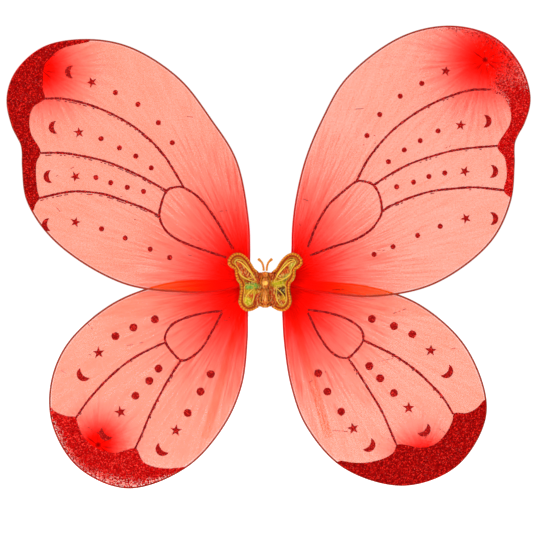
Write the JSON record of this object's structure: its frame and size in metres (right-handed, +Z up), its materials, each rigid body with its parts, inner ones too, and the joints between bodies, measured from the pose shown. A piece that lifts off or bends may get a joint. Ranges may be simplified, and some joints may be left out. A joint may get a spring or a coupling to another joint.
{
  "type": "fairy wings",
  "caption": "Butterfly-shaped costume wings of red nylon on wire hoops, with a foil butterfly patch, a back pad and elastic arm loops.",
  "frame": {"origin": "on the rear face of the back pad, midway between the four wire stems", "axes": "+Y towards the wearer's back, +Z up, +X to the right when the decorated side is looked at"},
  "size_m": [0.5116, 0.0548, 0.4521],
  "materials": {
    "wire": "thin dark red lacquer on steel wire, tarnished",
    "nylon": "sheer red stretch nylon, gathered, with red glitter print",
    "thread": "wound red sewing thread",
    "felt": "pressed red felt, stitched round the edge",
    "foam": "soft open foam sheet",
    "elastic": "clear ribbed elastic",
    "binding_tape": "glossy red ribbon wound tight",
    "patch_fabric": "stiff embroidered patch cloth",
    "edge_cord": "metallic gold and copper cord",
    "foil": "crumpled holographic foil over padding",
    "gem": "clear amber bead"
  },
  "bodies": {
    "back_assembly": {"upper_left_twisted_stem": "wire", "upper_right_twisted_stem": "wire", "lower_left_twisted_stem": "wire", "lower_right_twisted_stem": "wire", "upper_left_root_tie": "thread", "upper_right_root_tie": "thread", "lower_left_root_tie": "thread", "lower_right_root_tie": "thread", "stem_wrap": "binding_tape", "rear_felt_cover": "felt", "front_felt_cover": "felt", "foam_core": "foam", "left_elastic_tab": "elastic", "right_elastic_tab": "elastic", "butterfly_core_strip": "patch_fabric", "butterfly_head": "foil", "butterfly_thorax": "foil", "butterfly_abdomen": "foil", "butterfly_bead": "gem", "butterfly_left_antenna": "edge_cord", "butterfly_right_antenna": "edge_cord"},
    "upper_left_wing": {"upper_left_wire_hoop": "wire", "upper_left_nylon_cover": "nylon", "upper_left_toe_knot": "thread"},
    "upper_right_wing": {"upper_right_wire_hoop": "wire", "upper_right_nylon_cover": "nylon", "upper_right_toe_knot": "thread"},
    "lower_left_wing": {"lower_left_wire_hoop": "wire", "lower_left_nylon_cover": "nylon", "lower_left_toe_knot": "thread"},
    "lower_right_wing": {"lower_right_wire_hoop": "wire", "lower_right_nylon_cover": "nylon", "lower_right_toe_knot": "thread"},
    "left_patch_wing": {"butterfly_left_backing": "patch_fabric", "butterfly_left_edge_cord": "edge_cord", "butterfly_left_fore_foil": "foil", "butterfly_left_hind_foil": "foil"},
    "left_arm_loop": {"left_elastic_loop": "elastic"},
    "right_patch_wing": {"butterfly_right_backing": "patch_fabric", "butterfly_right_edge_cord": "edge_cord", "butterfly_right_fore_foil": "foil", "butterfly_right_hind_foil": "foil"},
    "right_arm_loop": {"right_elastic_loop": "elastic"}
  },
  "joints": [
    {"name": "left_wings_fold", "type": "hinge", "parent": "back_assembly", "child": "upper_left_wing", "pos_m": [-0.0115, -0.0104, 0], "axis": [0, 0, 1], "range_deg": [0, 75]},
    {"name": "lower_left_wing_spread", "type": "hinge", "parent": "upper_left_wing", "child": "lower_left_wing", "pos_m": [-0.0115, -0.0104, -0.0035], "axis": [0, 1, 0], "range_deg": [-8, 12]},
    {"name": "left_patch_wing_fold", "type": "hinge", "parent": "back_assembly", "child": "left_patch_wing", "pos_m": [-0.0078, -0.0142, 0], "axis": [0, 0, 1], "range_deg": [0, 75]},
    {"name": "left_arm_loop_swing", "type": "hinge", "parent": "back_assembly", "child": "left_arm_loop", "pos_m": [-0.024, -0.0036, -0.0237], "axis": [0.9613, 0, -0.2756], "range_deg": [0, 80]},
    {"name": "right_wings_fold", "type": "hinge", "parent": "back_assembly", "child": "upper_right_wing", "pos_m": [0.0115, -0.0104, 0], "axis": [0, 0, -1], "range_deg": [0, 75]},
    {"name": "lower_right_wing_spread", "type": "hinge", "parent": "upper_right_wing", "child": "lower_right_wing", "pos_m": [0.0115, -0.0104, -0.0035], "axis": [0, -1, 0], "range_deg": [-8, 12]},
    {"name": "right_patch_wing_fold", "type": "hinge", "parent": "back_assembly", "child": "right_patch_wing", "pos_m": [0.0042, -0.0142, 0], "axis": [0, 0, -1], "range_deg": [0, 75]},
    {"name": "right_arm_loop_swing", "type": "hinge", "parent": "back_assembly", "child": "right_arm_loop", "pos_m": [0.024, -0.0036, -0.0237], "axis": [0.9613, 0, 0.2756], "range_deg": [0, 80]}
  ],
  "couplings": [
    {"joint": "left_patch_wing_fold", "follows": "left_wings_fold", "ratio": 1},
    {"joint": "right_patch_wing_fold", "follows": "right_wings_fold", "ratio": 1}
  ]
}
